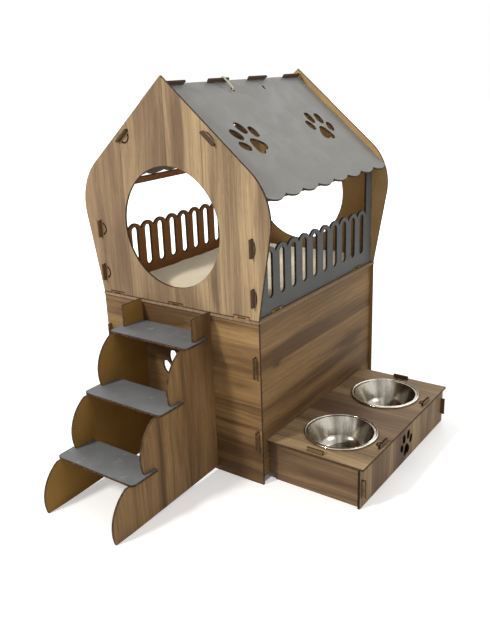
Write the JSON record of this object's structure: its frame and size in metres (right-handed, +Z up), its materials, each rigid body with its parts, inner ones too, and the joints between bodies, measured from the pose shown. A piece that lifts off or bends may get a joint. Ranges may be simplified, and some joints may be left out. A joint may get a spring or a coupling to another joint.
{
  "type": "cat house",
  "caption": "Gabled cat house of slotted wood-print boards on a base box, with round doors, picket fences, stairs, a cushion and a side tray of steel bowls.",
  "frame": {"origin": "on the floor, under the middle of the box round the whole object", "axes": "+X to the side with the bowl tray, +Y from the stairs to the back of the house, +Z up"},
  "size_m": [0.5734, 0.713, 0.704],
  "materials": {
    "wood_print": "satin printed wood grain on thin board",
    "grey_board": "light grey faced board",
    "slate_board": "dark grey faced board",
    "tread_board": "blue-grey faced board",
    "steel": "polished",
    "plush": "short cream plush",
    "cord": "twisted cotton"
  },
  "bodies": {
    "house": {"front_gable": "wood_print", "back_gable": "wood_print", "roof_left": "grey_board", "roof_right": "grey_board", "fence_left": "slate_board", "fence_right": "slate_board", "house_floor": "wood_print", "base_front": "wood_print", "base_back": "wood_print", "base_left": "wood_print", "base_right": "wood_print", "stringer_left": "wood_print", "stringer_right": "wood_print", "tread_top": "tread_board", "tread_middle": "tread_board", "tread_bottom": "tread_board", "tray_top": "wood_print", "tray_front": "wood_print", "tray_end_near": "wood_print", "tray_end_far": "wood_print", "ridge_cord": "cord"},
    "mat": {"floor_mat": "plush"},
    "near_bowl": {"bowl_near": "steel"},
    "far_bowl": {"bowl_far": "steel"}
  },
  "joints": [
    {"name": "near_bowl_lift", "type": "slide", "parent": "house", "child": "near_bowl", "axis": [0, 0, 1], "range_m": [0, 0.08]},
    {"name": "far_bowl_lift", "type": "slide", "parent": "house", "child": "far_bowl", "axis": [0, 0, 1], "range_m": [0, 0.08]},
    {"name": "mat_lift", "type": "slide", "parent": "house", "child": "mat", "axis": [0, 0, 1], "range_m": [0, 0.06]}
  ]
}
